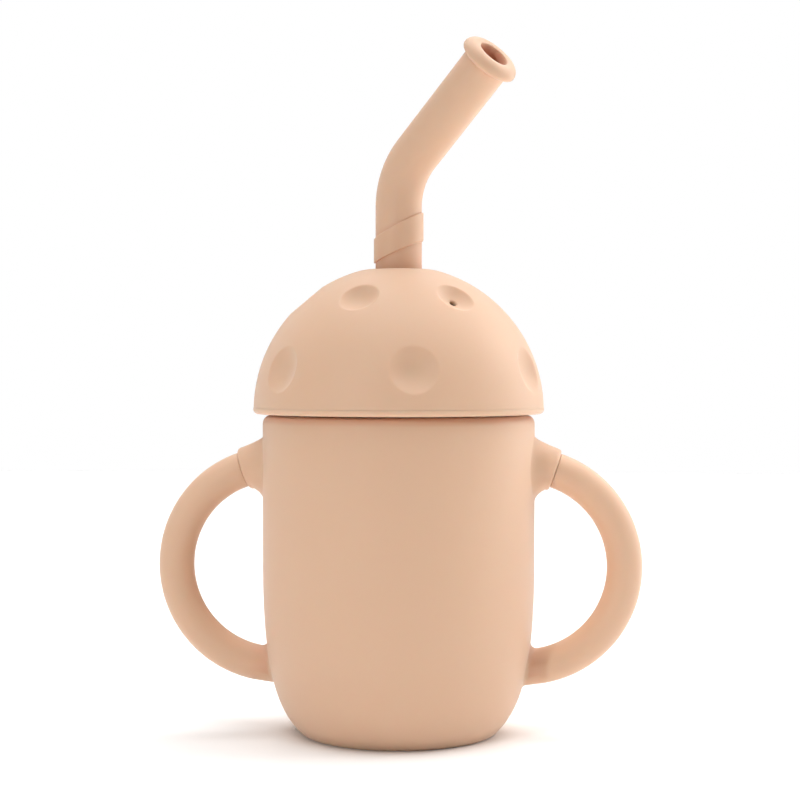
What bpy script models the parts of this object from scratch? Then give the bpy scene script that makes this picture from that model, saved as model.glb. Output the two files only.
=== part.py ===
"""A moulded silicone straw cup: bowl-bottomed cup, two ring handles, mushroom lid and bent straw.

The cup stands on the ground plane with its axis on +Z. The handles lie along X and the front is -Y.
All lengths are in metres. Touching pieces keep a gap of FIT_GAP between them.
"""

import math

import bmesh
import bpy
from mathutils import Matrix, Vector

FIT_GAP = 0.0003
SHARP_ANGLE = 35.0
MERGE = 1e-6
ROUND_SEGMENTS = 48
DOME_SEGMENTS = 60
TUBE_SIDES = 18

# Cup: a straight wall over a bowl-shaped foot.
CUP_RADIUS = 0.0361
CUP_HEIGHT = 0.0844
CUP_WALL = 0.0029
CUP_FLOOR = 0.0035
FOOT_RADIUS = 0.0257
FOOT_RECESS_RADIUS = 0.0200
FOOT_RECESS_DEPTH = 0.0008
BOWL_TOP = 0.0450
BOWL_LOW_HANDLE = (0.0323, 0.0060)
BOWL_HIGH_HANDLE_Z = 0.0160
RIM_ROUNDING = 0.0023
INNER_CORNER = 0.0100

# Handle: a round tube on a circular arc, from the collar down to the bowl.
ARM_RADIUS = 0.0047
ARM_ARC_RADIUS = 0.0268
ARM_ARC_CENTRE = (0.0330, 0.0443)
ARM_TOP_ANGLE = 71.3
ARM_ROOT_ANGLE = -79.0
ARM_RINGS = 15
ARM_FIRST_STEP = 3.0
ROOT_FILLET = 0.0012
ROOT_FILLET_STEPS = 4
PEG_RADIUS = 0.0030
PEG_LENGTH = 0.0054

# Collar: the flared socket on the cup that takes the arm's upper end.
COLLAR_RADIUS = 0.0056
COLLAR_ROOT_RADIUS = 0.0088
COLLAR_AXIS_Z = 0.07015
COLLAR_CONE_SHARE = 0.45
COLLAR_EDGE = 0.0008
COLLAR_RINGS = 8
SOCKET_OVERRUN = 0.0020
ARM_EDGE = 0.0002
PEG_EDGE = 0.0004

# Lid: a dome of one sphere, with a bonded stopper ring under it.
DOME_RADIUS = 0.0385
DOME_CENTRE_Z = 0.0855
DOME_WALL = 0.0030
BOND_LINE_Z = 0.0863
LID_BOTTOM_Z = CUP_HEIGHT + FIT_GAP
LID_EDGE_ROUNDING = 0.0018
CROWN_RADIUS = 0.0115
CROWN_Z = 0.1229
CROWN_STEPS = 4
DIMPLE_DEPTH = 0.0019
DIMPLE_CLEARANCE = 0.0015
LOWER_DIMPLES = {"latitude": 16.5, "first": -49.7, "diameter": 0.0125}
UPPER_DIMPLES = {"latitude": 50.4, "first": -79.7, "diameter": 0.0102}
DIMPLES_IN_A_ROW = 6
VENT_RADIUS = 0.0013
VENT_AZIMUTH = 37.6
VENT_LATITUDE = 48.0

# Stopper ring: a skirt that hangs in the cup, with two sealing ribs, and a tongue in the dome.
SKIRT_DEPTH = 0.0090
SKIRT_WALL = 0.0024
RIB_HEIGHT = 0.0006
RIB_HALF_WIDTH = 0.0009
RIB_PLACES = (0.34, 0.72)
TONGUE_HEIGHT = 0.0028
TONGUE_WALL = 0.0026
TONGUE_FOOT = 0.0010

# Straw: a vertical run on the cup's axis, one bend, and a straight run to the mouth bead.
STRAW_RADIUS = 0.00615
STRAW_BORE = 0.0040
STRAW_FOOT_Z = 0.0960
BEND_START_Z = 0.1395
BEND_RADIUS = 0.0185
BEND_ANGLE = 47.2
BEND_AZIMUTH = 55.0
BEND_STEPS = 8
MOUTH_RUN = 0.0353
BEAD_RADIUS = 0.0079
BEAD_HEIGHT = 0.0035
BEAD_WIDEST = 0.0023
BEAD_CROWN_RADIUS = 0.0056
BEAD_STEPS = 5
LIP_EDGE = 0.0003
SOCKET_RADIUS = 0.0046
SOCKET_DEPTH = 0.0143
BAND_RAISE = 0.00040
BAND_LOW_Z = 0.12755
BAND_HIGH_Z = 0.13455
BAND_LOW_SLOPE = 0.455
BAND_HIGH_SLOPE = 0.535
BAND_SECTIONS = 36
BOSS_DEPTH = 0.0120
BOSS_WALL = 0.0026

# Lower straw: a thinner tube that pushes up into the straw and reaches the cup's floor.
DIP_RADIUS = SOCKET_RADIUS - FIT_GAP
DIP_BORE = 0.0030
DIP_FOOT_Z = 0.0055
NOTCH_RADIUS = 0.0018

SILICONE = (0.70, 0.46, 0.31)
ROUGHNESS = 0.55

ACROSS = Vector((0.0, 1.0, 0.0))
UP = Vector((0.0, 0.0, 1.0))


def silicone(name):
    """A matte silicone of its own for one piece."""
    made = bpy.data.materials.new(name)
    made.use_nodes = True
    shader = made.node_tree.nodes["Principled BSDF"]
    shader.inputs["Base Color"].default_value = (*SILICONE, 1.0)
    shader.inputs["Roughness"].default_value = ROUGHNESS
    shader.inputs["Metallic"].default_value = 0.0
    return made


def add_object(name, mesh_builder, parent=None):
    """Writes a bmesh to a named object with its faces pointing outwards."""
    bmesh.ops.recalc_face_normals(mesh_builder, faces=mesh_builder.faces)
    mesh = bpy.data.meshes.new(name)
    mesh_builder.to_mesh(mesh)
    mesh_builder.free()
    mesh.shade_smooth()
    mesh.set_sharp_from_angle(angle=math.radians(SHARP_ANGLE))
    made = bpy.data.objects.new(name, mesh)
    bpy.context.scene.collection.objects.link(made)
    made.parent = parent
    return made


def add_empty(name, parent=None):
    """A parent for the pieces of one body, on the cup's axis."""
    made = bpy.data.objects.new(name, None)
    bpy.context.scene.collection.objects.link(made)
    made.parent = parent
    return made


def as_tool(made):
    """Marks an object as a guide that isn't a piece."""
    made.hide_render = True
    made.display_type = "WIRE"
    return made


def boolean(target, tool, operation):
    """Adds a live Boolean to the target."""
    modifier = target.modifiers.new(tool.name, "BOOLEAN")
    modifier.operation = operation
    modifier.object = tool
    modifier.solver = "EXACT"


def arc(centre_r, centre_z, radius, start, end, steps):
    """Points of a circular arc in the profile plane, angles in degrees from +r towards +z."""
    points = []
    for step in range(steps + 1):
        angle = math.radians(start + (end - start) * step / steps)
        points.append((centre_r + radius * math.cos(angle), centre_z + radius * math.sin(angle)))
    return points


def bowl(inset=0.0, steps=11):
    """The cup's outer wall from the foot to the top of the bowl, as one cubic curve."""
    nodes = (
        Vector((FOOT_RADIUS, 0.0)),
        Vector(BOWL_LOW_HANDLE),
        Vector((CUP_RADIUS, BOWL_HIGH_HANDLE_Z)),
        Vector((CUP_RADIUS, BOWL_TOP)),
    )
    points = []
    for step in range(steps + 1):
        t = step / steps
        s = 1.0 - t
        point = s**3 * nodes[0] + 3 * s * s * t * nodes[1] + 3 * s * t * t * nodes[2] + t**3 * nodes[3]
        points.append((point.x - inset, point.y))
    return points


def wall_radius(z):
    """The cup's outer radius at a height."""
    if z >= BOWL_TOP:
        return CUP_RADIUS
    points = bowl(steps=80)
    for low, high in zip(points, points[1:]):
        if low[1] <= z <= high[1]:
            share = (z - low[1]) / (high[1] - low[1])
            return low[0] + share * (high[0] - low[0])
    return FOOT_RADIUS


def turned(profile, closed=False, segments=ROUND_SEGMENTS):
    """Spins a profile of (radius, z) points about +Z. A closed profile makes a ring."""
    builder = bmesh.new()
    verts = [builder.verts.new((r, 0.0, z)) for r, z in profile]
    pairs = list(zip(verts, verts[1:]))
    if closed:
        pairs.append((verts[-1], verts[0]))
    edges = [builder.edges.new(pair) for pair in pairs]
    bmesh.ops.spin(
        builder, geom=verts + edges, axis=(0, 0, 1), cent=(0, 0, 0),
        angle=math.tau, steps=segments, use_merge=True,
    )
    bmesh.ops.remove_doubles(builder, verts=builder.verts, dist=MERGE)
    return builder


def lofted(rings, close_ends=True):
    """Skins rings of equal point count into a tube; with close_ends each end gets a fan."""
    builder = bmesh.new()
    rows = [[builder.verts.new(point) for point in ring] for ring in rings]
    following = list(zip(rows, rows[1:]))
    if not close_ends:
        following.append((rows[-1], rows[0]))
    for low, high in following:
        for side in range(len(low)):
            other = (side + 1) % len(low)
            builder.faces.new((low[side], low[other], high[other], high[side]))
    if close_ends:
        for row in (rows[0], rows[-1]):
            centre = builder.verts.new(sum((v.co for v in row), Vector()) / len(row))
            for side in range(len(row)):
                builder.faces.new((row[side], row[(side + 1) % len(row)], centre))
    return builder


def circle(centre, across, up, radius, sides=TUBE_SIDES):
    """Points of a circle in the plane of two unit vectors."""
    points = []
    for side in range(sides):
        angle = math.tau * side / sides
        points.append(centre + radius * (math.cos(angle) * across + math.sin(angle) * up))
    return points


def cup_shell():
    """The tumbler itself: foot, bowl, wall, rounded rim and inner hollow."""
    inner = CUP_RADIUS - CUP_WALL
    rim_inner = CUP_WALL - RIM_ROUNDING
    foot = [
        (0.0, FOOT_RECESS_DEPTH),
        (FOOT_RECESS_RADIUS - FOOT_RECESS_DEPTH, FOOT_RECESS_DEPTH),
        (FOOT_RECESS_RADIUS, 0.0),
    ]
    rim = arc(CUP_RADIUS - RIM_ROUNDING, CUP_HEIGHT - RIM_ROUNDING, RIM_ROUNDING, 0, 90, 4)
    rim += arc(inner + rim_inner, CUP_HEIGHT - rim_inner, rim_inner, 90, 180, 3)
    hollow = [(r, z) for r, z in reversed(bowl(CUP_WALL)) if z > CUP_FLOOR + INNER_CORNER]
    corner_r = hollow[-1][0] - INNER_CORNER
    corner_z = CUP_FLOOR + INNER_CORNER
    hollow += arc(corner_r, corner_z, INNER_CORNER, 0, -90, 5)
    hollow.append((0.0, CUP_FLOOR))
    return turned(foot + bowl() + rim + hollow)


def arm_frame(angle):
    """Centre, outward direction and tangent of the handle's arc at an angle in degrees."""
    turn = math.radians(angle)
    outward = Vector((math.cos(turn), 0.0, math.sin(turn)))
    centre = Vector((ARM_ARC_CENTRE[0], 0.0, ARM_ARC_CENTRE[1])) + ARM_ARC_RADIUS * outward
    return centre, outward, Vector((-math.sin(turn), 0.0, math.cos(turn)))


def socket_rings():
    """Rings of the hole in the right collar that takes the arm's peg."""
    centre, outward, inward = arm_frame(ARM_TOP_ANGLE)
    radius = PEG_RADIUS + FIT_GAP
    return [
        circle(centre + inward * step, ACROSS, outward, radius)
        for step in (-SOCKET_OVERRUN, PEG_LENGTH + FIT_GAP)
    ]


def collar_rings():
    """Rings of the right collar, from its end face in to the cup's wall."""
    centre, outward, inward = arm_frame(ARM_TOP_ANGLE)
    rings = [
        circle(centre, ACROSS, outward, COLLAR_RADIUS - COLLAR_EDGE),
        circle(centre + inward * COLLAR_EDGE, ACROSS, outward, COLLAR_RADIUS),
    ]
    start = centre + inward * 2 * COLLAR_EDGE
    end = Vector((CUP_RADIUS - 0.5 * CUP_WALL, 0.0, COLLAR_AXIS_Z))
    flare = COLLAR_ROOT_RADIUS - COLLAR_RADIUS
    for step in range(COLLAR_RINGS + 1):
        t = step / COLLAR_RINGS
        reach = min(1.0, t * (start.x - end.x) / (start.x - CUP_RADIUS))
        rounded = 1.0 - math.sqrt(1.0 - reach * reach)
        radius = COLLAR_RADIUS + flare * (COLLAR_CONE_SHARE * reach + (1 - COLLAR_CONE_SHARE) * rounded)
        up = outward.lerp(UP, t).normalized()
        place = start.lerp(end, t)
        place.z = start.z + (end.z - start.z) * math.sin(0.5 * math.pi * t)
        rings.append(circle(place, ACROSS, up, radius))
    return rings


def handle_rings():
    """Rings of the right handle arm, from its peg round the arc to its root on the bowl."""
    centre, outward, inward = arm_frame(ARM_TOP_ANGLE)
    shoulder = centre - inward * FIT_GAP
    rings = [
        circle(centre + inward * PEG_LENGTH, ACROSS, outward, PEG_RADIUS - PEG_EDGE),
        circle(centre + inward * (PEG_LENGTH - PEG_EDGE), ACROSS, outward, PEG_RADIUS),
        circle(shoulder, ACROSS, outward, PEG_RADIUS),
        circle(shoulder, ACROSS, outward, ARM_RADIUS - ARM_EDGE),
        circle(shoulder - inward * ARM_EDGE, ACROSS, outward, ARM_RADIUS),
    ]
    first = ARM_TOP_ANGLE - ARM_FIRST_STEP
    for step in range(ARM_RINGS + 1):
        centre, outward, inward = arm_frame(first + (ARM_ROOT_ANGLE - first) * step / ARM_RINGS)
        rings.append(circle(centre, ACROSS, outward, ARM_RADIUS))
    return rings + root_rings(rings[-1], centre)


def root_rings(last, centre):
    """The arm's root: a small fillet that follows the bowl, then its face, closed towards the middle."""
    rings = []
    for step in range(1, ROOT_FILLET_STEPS + 1):
        turn = 0.5 * math.pi * step / ROOT_FILLET_STEPS
        spread = 1.0 + ROOT_FILLET * (1.0 - math.cos(turn)) / ARM_RADIUS
        rings.append(on_wall(last, centre, spread, FIT_GAP + ROOT_FILLET * (1.0 - math.sin(turn))))
    for share in (0.66, 0.33):
        rings.append(on_wall(last, centre, spread * share, FIT_GAP))
    return rings


def on_wall(ring, centre, spread, height):
    """A ring's points spread about its centre and moved along X to a height over the cup's wall."""
    placed = []
    for point in ring:
        y = point.y * spread
        z = centre.z + (point.z - centre.z) * spread
        radius = wall_radius(z) + height
        placed.append(Vector((math.sqrt(radius * radius - y * y), y, z)))
    return placed


def mirrored(rings):
    """The same rings on the other side of the cup."""
    return [[Vector((-point.x, point.y, point.z)) for point in ring] for ring in rings]


def make_cup(parent):
    """The cup body with both collars, and the two handle arms that plug into them."""
    body = add_object("cup_body", cup_shell(), parent)
    body.data.materials.append(silicone("cup_silicone"))
    for side, placed in (("right", list), ("left", mirrored)):
        collar = as_tool(add_object(f"{side}_collar_shape", lofted(placed(collar_rings()))))
        boolean(body, collar, "UNION")
        socket = as_tool(add_object(f"{side}_socket_shape", lofted(placed(socket_rings()))))
        boolean(body, socket, "DIFFERENCE")
        handle = add_object(f"{side}_handle", lofted(placed(handle_rings())), parent)
        handle.data.materials.append(silicone(f"{side}_handle_silicone"))


def direction(azimuth, latitude=0.0):
    """A unit vector at an azimuth from the front towards +X and a latitude, in degrees."""
    turn = math.radians(azimuth)
    lift = math.radians(latitude)
    return Vector((math.sin(turn) * math.cos(lift), -math.cos(turn) * math.cos(lift), math.sin(lift)))


def press_dimples(builder):
    """Presses two rows of soft round dimples into the dome's outer skin."""
    centre = Vector((0.0, 0.0, DOME_CENTRE_Z))
    places = []
    for row in (LOWER_DIMPLES, UPPER_DIMPLES):
        for number in range(DIMPLES_IN_A_ROW):
            azimuth = row["first"] + number * 360.0 / DIMPLES_IN_A_ROW
            places.append((direction(azimuth, row["latitude"]), 0.5 * row["diameter"]))
    for vert in builder.verts:
        outward = vert.co - centre
        if outward.length < DOME_RADIUS - MERGE or vert.co.z < BOND_LINE_Z + DIMPLE_CLEARANCE:
            continue
        outward.normalize()
        for place, reach in places:
            away = DOME_RADIUS * outward.angle(place) / reach
            if away < 1.0:
                vert.co -= outward * DIMPLE_DEPTH * (1.0 - away * away)


def dome_profile():
    """Half-section of the dome shell, with the boss that grips the straw."""
    bore = STRAW_RADIUS + FIT_GAP
    inner = DOME_RADIUS - DOME_WALL
    base = BOND_LINE_Z - DOME_CENTRE_Z
    low = math.degrees(math.asin(base / DOME_RADIUS))
    high = math.degrees(math.acos(CROWN_RADIUS / DOME_RADIUS))
    boss = bore + BOSS_WALL
    inner_low = math.degrees(math.asin(base / inner))
    inner_high = math.degrees(math.acos(boss / inner))
    outer = arc(0.0, DOME_CENTRE_Z, DOME_RADIUS, low, high, 20)
    hollow = arc(0.0, DOME_CENTRE_Z, inner, inner_high, inner_low, 8)
    foot = CROWN_Z - BOSS_DEPTH
    return outer + crown(outer[-1][1], bore) + [(bore, foot), (boss, foot)] + hollow


def crown(start_z, bore):
    """Points of the dome's flattened top: it leaves the sphere smoothly and ends at the straw's hole."""
    width = CROWN_RADIUS - bore
    slope = CROWN_RADIUS / (start_z - DOME_CENTRE_Z)
    drop = (start_z + slope * width - CROWN_Z) / width**2
    points = []
    for step in range(1, CROWN_STEPS + 1):
        run = width * step / CROWN_STEPS
        points.append((CROWN_RADIUS - run, start_z + slope * run - drop * run**2))
    return points


def plug_profile():
    """Half-section of the stopper ring: flange, ribbed skirt and tongue."""
    top = BOND_LINE_Z - FIT_GAP
    edge = math.sqrt(DOME_RADIUS**2 - (top - DOME_CENTRE_Z) ** 2)
    skirt = CUP_RADIUS - CUP_WALL - FIT_GAP - RIB_HEIGHT
    inside = skirt - SKIRT_WALL
    foot = LID_BOTTOM_Z - SKIRT_DEPTH
    tongue = DOME_RADIUS - DOME_WALL - FIT_GAP
    sweep = math.degrees(math.acos(1.0 - (top - LID_BOTTOM_Z) / LID_EDGE_ROUNDING)) - 90.0
    rounding = arc(
        edge - LID_EDGE_ROUNDING, LID_BOTTOM_Z + LID_EDGE_ROUNDING, LID_EDGE_ROUNDING, -90, sweep, 5
    )
    profile = [(tongue - TONGUE_WALL, top + TONGUE_HEIGHT), (inside, top - TONGUE_FOOT), (inside, foot)]
    profile += [(skirt - RIB_HEIGHT, foot), (skirt, foot + RIB_HEIGHT)]
    for share in RIB_PLACES:
        rib_z = foot + share * SKIRT_DEPTH
        profile.append((skirt, rib_z - RIB_HALF_WIDTH))
        profile.append((skirt + RIB_HEIGHT, rib_z))
        profile.append((skirt, rib_z + RIB_HALF_WIDTH))
    profile += [(skirt, LID_BOTTOM_Z)] + rounding
    return profile + [(tongue, top), (tongue, top + TONGUE_HEIGHT)]


def make_lid(parent):
    """The dome with its dimples, vent and straw boss, and the stopper ring under it."""
    builder = turned(dome_profile(), closed=True, segments=DOME_SEGMENTS)
    press_dimples(builder)
    cap = add_object("lid_cap", builder, parent)
    cap.data.materials.append(silicone("lid_silicone"))
    aim = direction(VENT_AZIMUTH, VENT_LATITUDE)
    middle = Vector((0.0, 0.0, DOME_CENTRE_Z)) + aim * (DOME_RADIUS - 0.5 * DOME_WALL)
    cutter = bmesh.new()
    place = Matrix.Translation(middle) @ aim.to_track_quat("Z", "Y").to_matrix().to_4x4()
    bmesh.ops.create_cone(
        cutter, cap_ends=True, segments=16, radius1=VENT_RADIUS, radius2=VENT_RADIUS,
        depth=3 * DOME_WALL, matrix=place,
    )
    vent = as_tool(add_object("vent_shape", cutter))
    boolean(cap, vent, "DIFFERENCE")
    plug = add_object("lid_plug", turned(plug_profile(), closed=True), parent)
    plug.data.materials.append(silicone("plug_silicone"))


def straw_frame(travel):
    """Centre and direction of the straw's centreline at a travel up from its lower end."""
    lean = direction(BEND_AZIMUTH)
    straight = BEND_START_Z - STRAW_FOOT_Z
    if travel <= straight:
        return UP * (STRAW_FOOT_Z + travel), UP
    sweep = min((travel - straight) / BEND_RADIUS, math.radians(BEND_ANGLE))
    centre = lean * BEND_RADIUS * (1.0 - math.cos(sweep))
    centre += UP * (BEND_START_Z + BEND_RADIUS * math.sin(sweep))
    heading = lean * math.sin(sweep) + UP * math.cos(sweep)
    return centre + heading * max(0.0, travel - straight - BEND_RADIUS * sweep), heading


def straw_ring(travel, radius):
    """A ring square to the straw's centreline."""
    centre, heading = straw_frame(travel)
    across = direction(BEND_AZIMUTH + 90.0)
    return circle(centre, across, across.cross(heading), radius)


def straw_rings():
    """Rings up the outside, over the mouth bead and back down the bore to the socket."""
    straight = BEND_START_Z - STRAW_FOOT_Z
    bend = BEND_RADIUS * math.radians(BEND_ANGLE)
    length = straight + bend + MOUTH_RUN
    stops = [0.0, straight] + [straight + bend * step / BEND_STEPS for step in range(1, BEND_STEPS + 1)]
    outer = [straw_ring(travel, STRAW_RADIUS) for travel in stops]
    widest = length - BEAD_WIDEST
    for step in range(BEAD_STEPS):
        turn = 0.5 * math.pi * (step / BEAD_STEPS - 1.0)
        travel = widest + (BEAD_HEIGHT - BEAD_WIDEST) * math.sin(turn)
        outer.append(straw_ring(travel, STRAW_RADIUS + (BEAD_RADIUS - STRAW_RADIUS) * math.cos(turn)))
    for step in range(BEAD_STEPS + 1):
        turn = 0.5 * math.pi * step / BEAD_STEPS
        radius = BEAD_CROWN_RADIUS + (BEAD_RADIUS - BEAD_CROWN_RADIUS) * math.cos(turn)
        outer.append(straw_ring(widest + BEAD_WIDEST * math.sin(turn), radius))
    outer.append(straw_ring(length - LIP_EDGE, STRAW_BORE))
    inner = [straw_ring(travel, STRAW_BORE) for travel in reversed(stops[1:])]
    inner.append(straw_ring(SOCKET_DEPTH, STRAW_BORE))
    inner.append(straw_ring(SOCKET_DEPTH, SOCKET_RADIUS))
    inner.append(straw_ring(0.0, SOCKET_RADIUS))
    return outer + inner


def band_shape():
    """The raised band: a closed ring round the straw above the lid, slanted up towards +X."""
    inside = STRAW_RADIUS - BAND_RAISE
    outside = STRAW_RADIUS + BAND_RAISE
    low = (BAND_LOW_Z, BAND_LOW_SLOPE)
    high = (BAND_HIGH_Z, BAND_HIGH_SLOPE)
    sections = []
    for number in range(BAND_SECTIONS):
        outward = direction(360.0 * number / BAND_SECTIONS)
        section = []
        for radius, (middle, slope) in ((inside, low), (outside, low), (outside, high), (inside, high)):
            section.append(outward * radius + UP * (middle + slope * radius * outward.x))
        sections.append(section)
    return lofted(sections, close_ends=False)


def make_straws(dip_parent, mouth_parent):
    """The bent upper straw with its band, and the thin lower straw with a notched foot."""
    straw = add_object("mouth_straw", lofted(straw_rings(), close_ends=False), mouth_parent)
    straw.data.materials.append(silicone("straw_silicone"))
    boolean(straw, as_tool(add_object("band_shape", band_shape())), "UNION")
    top = STRAW_FOOT_Z + SOCKET_DEPTH - FIT_GAP
    profile = [(DIP_RADIUS, DIP_FOOT_Z), (DIP_RADIUS, top), (DIP_BORE, top), (DIP_BORE, DIP_FOOT_Z)]
    dip = add_object("dip_straw", turned(profile, closed=True, segments=24), dip_parent)
    dip.data.materials.append(silicone("dip_silicone"))
    cutter = bmesh.new()
    bmesh.ops.create_cone(
        cutter, cap_ends=True, segments=16, radius1=NOTCH_RADIUS, radius2=NOTCH_RADIUS,
        depth=4 * DIP_RADIUS,
        matrix=Matrix.Translation((0, 0, DIP_FOOT_Z)) @ Matrix.Rotation(math.pi / 2, 4, "Y"),
    )
    boolean(dip, as_tool(add_object("notch_shape", cutter)), "DIFFERENCE")


def main():
    for old in list(bpy.data.objects):
        bpy.data.objects.remove(old)
    cup = add_empty("cup_body_frame")
    lid = add_empty("lid_frame", parent=cup)
    dip = add_empty("dip_straw_frame", parent=lid)
    mouth = add_empty("mouth_straw_frame", parent=dip)
    make_cup(cup)
    make_lid(lid)
    make_straws(dip, mouth)


main()
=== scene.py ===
"""A moulded silicone straw cup: bowl-bottomed cup, two ring handles, mushroom lid and bent straw.

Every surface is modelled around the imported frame, in metres, with the cup's axis on +Z and its front at -Y.
"""

import math

import bmesh
import bpy
from bpy.props import FloatProperty, FloatVectorProperty, IntProperty, PointerProperty
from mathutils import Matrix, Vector
from mathutils.geometry import interpolate_bezier


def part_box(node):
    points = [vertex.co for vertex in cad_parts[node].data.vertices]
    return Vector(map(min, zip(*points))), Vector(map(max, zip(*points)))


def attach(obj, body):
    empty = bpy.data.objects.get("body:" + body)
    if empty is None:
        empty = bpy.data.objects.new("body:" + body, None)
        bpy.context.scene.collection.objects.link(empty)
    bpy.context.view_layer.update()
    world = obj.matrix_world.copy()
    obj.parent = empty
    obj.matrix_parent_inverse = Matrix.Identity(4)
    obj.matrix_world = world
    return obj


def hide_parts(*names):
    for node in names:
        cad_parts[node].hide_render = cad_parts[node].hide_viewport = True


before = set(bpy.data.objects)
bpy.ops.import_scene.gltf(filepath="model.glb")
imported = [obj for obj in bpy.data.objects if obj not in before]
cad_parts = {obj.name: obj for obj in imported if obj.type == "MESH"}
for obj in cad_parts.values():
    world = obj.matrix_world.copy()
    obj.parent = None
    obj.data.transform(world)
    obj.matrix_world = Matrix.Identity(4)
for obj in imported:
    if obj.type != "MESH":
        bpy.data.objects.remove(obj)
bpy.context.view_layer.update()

CUP_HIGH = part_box("cup_body")[1]
CAP_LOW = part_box("lid_cap")[0]
PLUG_LOW, PLUG_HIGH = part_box("lid_plug")
STRAW_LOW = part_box("mouth_straw")[0]
DIP_LOW, DIP_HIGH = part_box("dip_straw")

UP = Vector((0.0, 0.0, 1.0))
ACROSS = Vector((0.0, 1.0, 0.0))
MERGE = 1e-6
HAIRLINE = 0.00002
CLEARANCE = 0.0003
SHARP_ANGLE = math.radians(50.0)
QUARTER = 0.5 * math.pi
CORNER_STEPS = 6
EDGE_STEPS = 4

bl_info = {
    "name": "Silicone straw cup",
    "version": (1, 0, 0),
    "blender": (4, 5, 0),
    "location": "3D View > Sidebar > Straw cup",
    "description": "Moulded silicone cup with ring handles, a mushroom lid and a bent straw",
    "category": "Add Mesh",
}


def length(name, description, default):
    """A size in metres."""
    return FloatProperty(name=name, description=description, default=default, unit="LENGTH", precision=5)


def angle(name, description, degrees):
    """An angle, shown in degrees."""
    return FloatProperty(
        name=name, description=description, default=math.radians(degrees), subtype="ANGLE"
    )


def share(name, description, default):
    """A factor from 0 to 1."""
    return FloatProperty(
        name=name, description=description, default=default, min=0.0, max=1.0, subtype="FACTOR"
    )


class CupSizes(bpy.types.PropertyGroup):
    """The tumbler and the collars that its handles plug into."""

    radius: length("Radius", "Outer radius of the straight wall", CUP_HIGH.y)
    height: length("Height", "Height of the rim over the table", CUP_HIGH.z)
    wall: length("Wall", "Thickness of the wall", 0.0029)
    floor: length("Floor", "Height of the inner floor", 0.0035)
    foot_radius: length("Foot radius", "Radius at which the bowl meets the table", 0.0257)
    recess_radius: length("Recess radius", "Radius of the shallow recess under the foot", 0.0200)
    recess_depth: length("Recess depth", "Depth of the recess under the foot", 0.0008)
    bowl_swell: length("Bowl swell", "How far the bowl's lower curve reaches out from the foot", 0.0066)
    bowl_spring: length("Bowl spring", "How high the bowl's lower curve reaches", 0.0060)
    bowl_shoulder: length("Bowl shoulder", "Height at which the bowl's curve heads for the wall", 0.0160)
    bowl_top: length("Bowl top", "Height at which the bowl becomes the straight wall", 0.0450)
    well_shoulder: length("Well shoulder", "Height at which the inside starts to turn in", 0.0170)
    well_swell: length("Well swell", "Radius at which the inside's curve heads for the floor", 0.0295)
    well_floor: length("Well floor", "Radius of the flat inner floor", 0.0170)
    rim_outer: length("Rim outside", "Rounding of the rim's outer edge", 0.0023)
    rim_inner: length("Rim inside", "Rounding of the rim's inner edge", 0.0005)
    # Painted shade: darkens the base colour on the rim's outer rounding, where the lid overhangs it.
    rim_painted_shade: share("Rim glow", "Strength of the deeper tone along the rim", 0.4)
    segments: IntProperty(name="Segments", description="Steps round the cup", default=192, min=24)
    collar_height: length("Collar height", "Height of the collars' axis at the wall", 0.07015)
    collar_radius: length("Collar radius", "Radius of a collar's neck", 0.00575)
    collar_root: length("Collar root", "Radius over which a collar flares into the wall", 0.0088)
    collar_edge: length("Collar edge", "Rounding of a collar's end face", 0.0010)
    socket_radius: length("Socket radius", "Radius of the hole that takes the arm's peg", 0.0033)
    socket_depth: length("Socket depth", "Depth of the hole that takes the arm's peg", 0.0057)


class ArmSizes(bpy.types.PropertyGroup):
    """A handle's round arm, on one circular arc from its collar down to the bowl."""

    radius: length("Radius", "Radius of the arm's round section", 0.0047)
    arc_radius: length("Arc radius", "Radius of the arc that the arm follows", 0.0268)
    arc_centre: length("Arc centre", "Distance of the arc's centre from the cup's axis", 0.0330)
    arc_height: length("Arc height", "Height of the arc's centre", 0.0443)
    top_angle: angle("Top angle", "Where the arm leaves its collar, above the horizontal", 71.3)
    root_angle: angle("Root angle", "Where the arm reaches the bowl, below the horizontal", 79.0)
    root_fillet: length("Root fillet", "Flare at the sides of the arm's root", 0.0014)
    root_skew: length("Root skew", "How much wider the flare is on top and narrower below", 0.0006)
    root_dip: angle("Root dip", "How far below the horizontal the arm runs into the bowl", 8.0)
    edge: length("Edge", "Rounding of the arm's shoulder and peg", 0.0003)
    peg_radius: length("Peg radius", "Radius of the peg inside the collar", 0.0030)
    peg_length: length("Peg length", "Length of the peg inside the collar", 0.0054)
    seam: length("Seam", "Fine gap between the arm's shoulder and its collar", 0.00003)
    bond: length("Bond", "How far the root's feathered edge sinks into the bowl", 0.00003)
    # Painted shade: the next three settings darken the base colour on the arm's root, standing in for the
    # shade next to the bowl.
    glow: share("Glow", "Strength of the deeper tone at the arm's root", 0.4)
    painted_shade_start: length("Glow start", "Distance from the cup's axis where the deeper tone is full", 0.0345)
    glow_reach: length("Glow reach", "How far the deeper tone runs along the arm", 0.0055)
    segments: IntProperty(name="Segments", description="Steps round the arm", default=48, min=12)


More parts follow.
